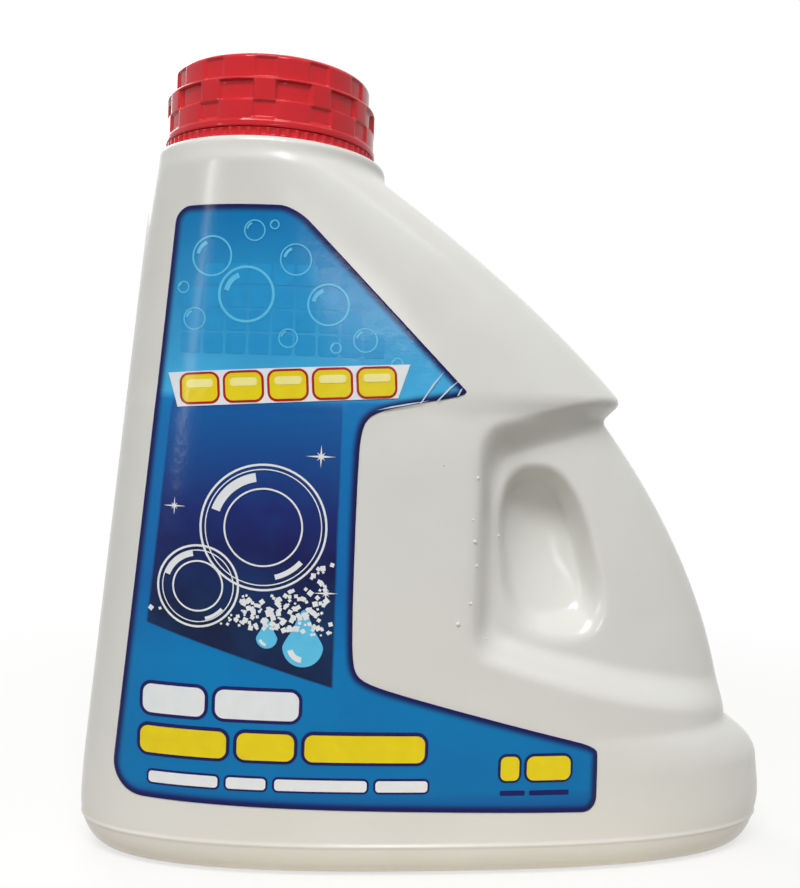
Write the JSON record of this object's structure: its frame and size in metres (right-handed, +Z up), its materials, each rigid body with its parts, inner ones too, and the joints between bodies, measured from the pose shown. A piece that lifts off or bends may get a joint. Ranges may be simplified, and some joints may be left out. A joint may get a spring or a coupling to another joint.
{
  "type": "dishwasher salt bottle",
  "caption": "White blow-moulded salt bottle with a pinch grip in its sloping side, a red screw cap and blue labels.",
  "frame": {"origin": "Middle of the base, on the surface that the bottle stands on.", "axes": "+Z up along the bottle's height, -Y out of the broad front with its label, +X from the neck towards the grip."},
  "size_m": [0.1743, 0.0592, 0.1886],
  "materials": {
    "bottle_plastic": "glossy blow-moulded polyethylene",
    "salt": "loose white grains",
    "label_film": "glossy printed film",
    "liner_foam": "soft foamed polyethylene",
    "cap_plastic": "glossy moulded polypropylene"
  },
  "bodies": {
    "pack": {"bottle": "bottle_plastic", "salt": "salt", "front_label": "label_film", "back_label": "label_film", "tamper_band": "cap_plastic"},
    "liner": {"cap_liner": "liner_foam"},
    "screw_cap": {"cap": "cap_plastic"}
  },
  "joints": [
    {"name": "cap_lift", "type": "slide", "parent": "pack", "child": "liner", "axis": [0, 0, 1], "range_m": [0, 0.0252]},
    {"name": "cap_turn", "type": "hinge", "parent": "liner", "child": "screw_cap", "pos_m": [-0.0459, 0, 0.18], "axis": [0, 0, 1], "range_deg": [0, 2160]}
  ],
  "couplings": [
    {"joint": "cap_turn", "follows": "cap_lift", "rad_per_m": 1496}
  ]
}
